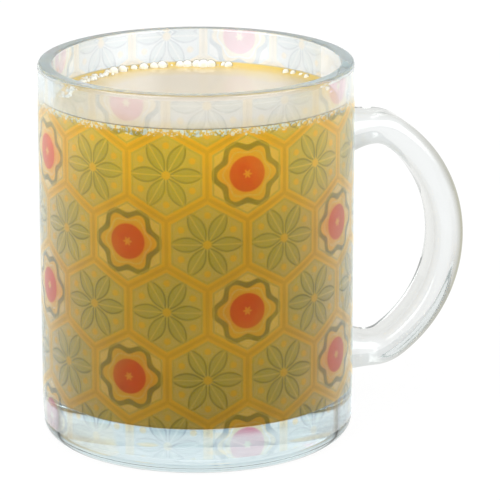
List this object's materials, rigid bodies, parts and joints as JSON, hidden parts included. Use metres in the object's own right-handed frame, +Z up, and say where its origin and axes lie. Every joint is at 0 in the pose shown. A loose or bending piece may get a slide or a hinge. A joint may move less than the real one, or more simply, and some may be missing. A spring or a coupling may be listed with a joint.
{
  "type": "glass mug",
  "caption": "Straight-sided clear glass mug with a heavy base, a flat fire-polished rim, a welded strap handle and a printed translucent coating round its wall.",
  "frame": {"origin": "on the mug's axis, in the plane of the foot ring that it stands on", "axes": "+Z up along the mug's axis, +X from the axis towards the handle"},
  "size_m": [0.11, 0.08, 0.097],
  "materials": {
    "clear_glass": "fire-polished clear glass",
    "handle_glass": "clear glass strap, softly rounded",
    "clear_coating": "clear gloss polymer coating",
    "dyed_print": "translucent dye print in amber, red-orange and sage green",
    "drink": "cloudy ochre drink with bubbles at its edge"
  },
  "bodies": {
    "root": {"glass_body": "clear_glass", "handle": "handle_glass", "coating": "clear_coating", "print": "dyed_print"}
  },
  "joints": []
}
